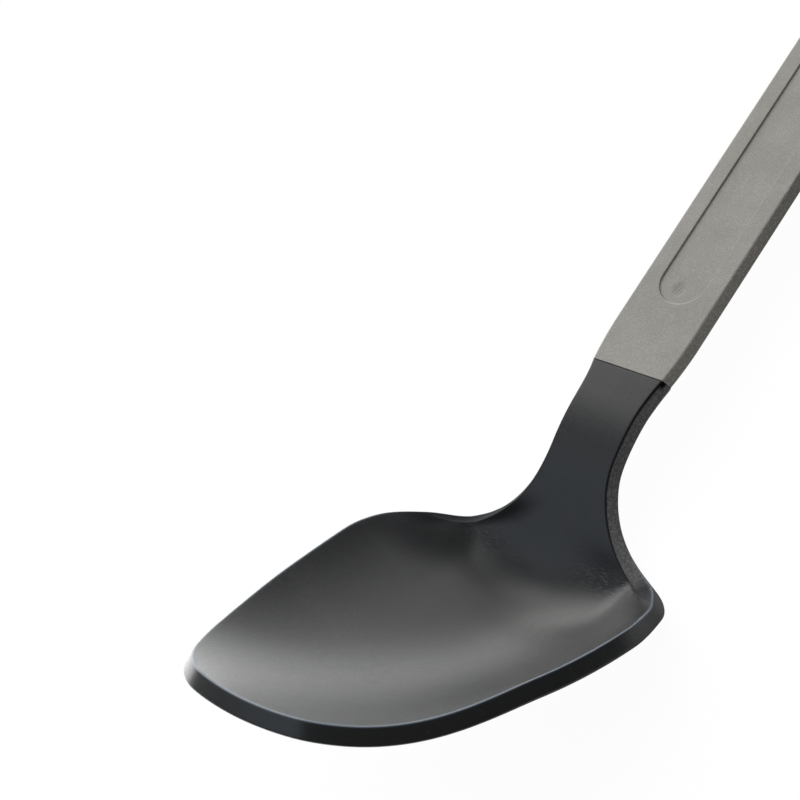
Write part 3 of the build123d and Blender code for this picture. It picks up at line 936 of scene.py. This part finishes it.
def makeFloor():
    half = ground["half"]
    mesh = bpy.data.meshes.new("floor")
    mesh.from_pydata([(-half, -half, 0), (half, -half, 0), (half, half, 0), (-half, half, 0)], [], [(0, 1, 2, 3)])
    floor = bpy.data.objects.new("floor", mesh)
    bpy.context.scene.collection.objects.link(floor)
    material, tree = newMaterial("floor_white")
    path = addNode(tree, "ShaderNodeLightPath").outputs
    place = addNode(tree, "ShaderNodeTexCoord").outputs["Object"]
    ahead = vector(tree, "DOT_PRODUCT", place, ground["towards"])
    mirrored = ramp(tree, ahead, (ground["back"], ground["front"]), ground["strength"])
    # painted shadow: mirrored rays see the floor darker in a pool under the bowl
    distance = vector(tree, "DISTANCE", place, ground["shadowPool"])
    shadowPool = ramp(tree, distance, (ground["poolInner"], ground["poolOuter"]), (ground["shade"], 1.0))
    mirrored = combine(tree, "MULTIPLY", mirrored, shadowPool)
    strength = addNode(tree, "ShaderNodeMix", {0: path["Is Glossy Ray"], 2: ground["bright"], 3: mirrored}).outputs[0]
    plain = combine(tree, "MULTIPLY", path["Is Camera Ray"], ground["share"])
    matt = addNode(tree, "ShaderNodeBsdfDiffuse", {"Color": gray(ground["color"])}).outputs[0]
    white = addNode(tree, "ShaderNodeEmission", {"Color": gray(1.0), "Strength": strength}).outputs[0]
    seen = combine(tree, "MAXIMUM", plain, path["Is Glossy Ray"])
    shader = addNode(tree, "ShaderNodeMixShader", {0: seen, 1: matt, 2: white})
    addNode(tree, "ShaderNodeOutputMaterial", {"Surface": shader.outputs[0]})
    mesh.materials.append(material)


def makeWorld():
    # a bright sweep behind the spoon and a dark room behind the camera; surfaces that scatter light get a wider glow
    world = bpy.data.worlds.new("studio")
    bpy.context.scene.world = world
    world.use_nodes = True
    tree = world.node_tree
    tree.nodes.clear()
    way = addNode(tree, "ShaderNodeTexCoord").outputs["Generated"]
    path = addNode(tree, "ShaderNodeLightPath").outputs

    def lobe(name):
        sizes = sky[name]
        facing = vector(tree, "DOT_PRODUCT", way, sizes["towards"])
        return vector(tree, "SCALE", sizes["color"], ramp(tree, facing, sizes["facing"], sizes["strength"]))

    mirrored = lobe("sweep")
    for name in ("key", "fill", "patch"):
        mirrored = vector(tree, "ADD", mirrored, lobe(name))
    light = mixColor(tree, path["Is Glossy Ray"], lobe("glow"), mirrored)
    color = mixColor(tree, path["Is Camera Ray"], light, gray(1.0))
    back = addNode(tree, "ShaderNodeBackground", {"Color": color, "Strength": 1.0})
    addNode(tree, "ShaderNodeOutputWorld", {"Surface": back.outputs[0]})


def makeLight():
    # one large soft lamp, turned from straight down to its aim
    data = bpy.data.lights.new("soft_light", "AREA")
    data.shape, data.size, data.energy = "SQUARE", lamp["size"], lamp["power"]
    light = bpy.data.objects.new("soft_light", data)
    bpy.context.scene.collection.objects.link(light)
    light.location = lamp["place"]
    x, y, z = np.array(lamp["aim"]) - np.array(lamp["place"])
    light.rotation_euler = (np.arctan2(np.hypot(x, y), -z), 0, np.arctan2(x, -y) + np.pi)


def makeCamera():
    data = bpy.data.cameras.new("camera")
    data.lens, data.sensor_width = view["lens"], view["sensor"]
    data.clip_start, data.clip_end = view["near"], view["far"]
    camera = bpy.data.objects.new("camera", data)
    bpy.context.scene.collection.objects.link(camera)
    camera.location = np.array(view["place"]) / 1000
    camera.rotation_euler = np.radians(view["turn"])
    bpy.context.scene.camera = camera
    bpy.context.scene.view_settings.view_transform = "Standard"


surface = makeSurfaceGroup()
makeHead(makeHeadMaterial(surface))
makeHandle(makeHandleMaterial(surface))
print("pieces made")
makeFloor()
makeWorld()
makeLight()
makeCamera()
print("stage made")
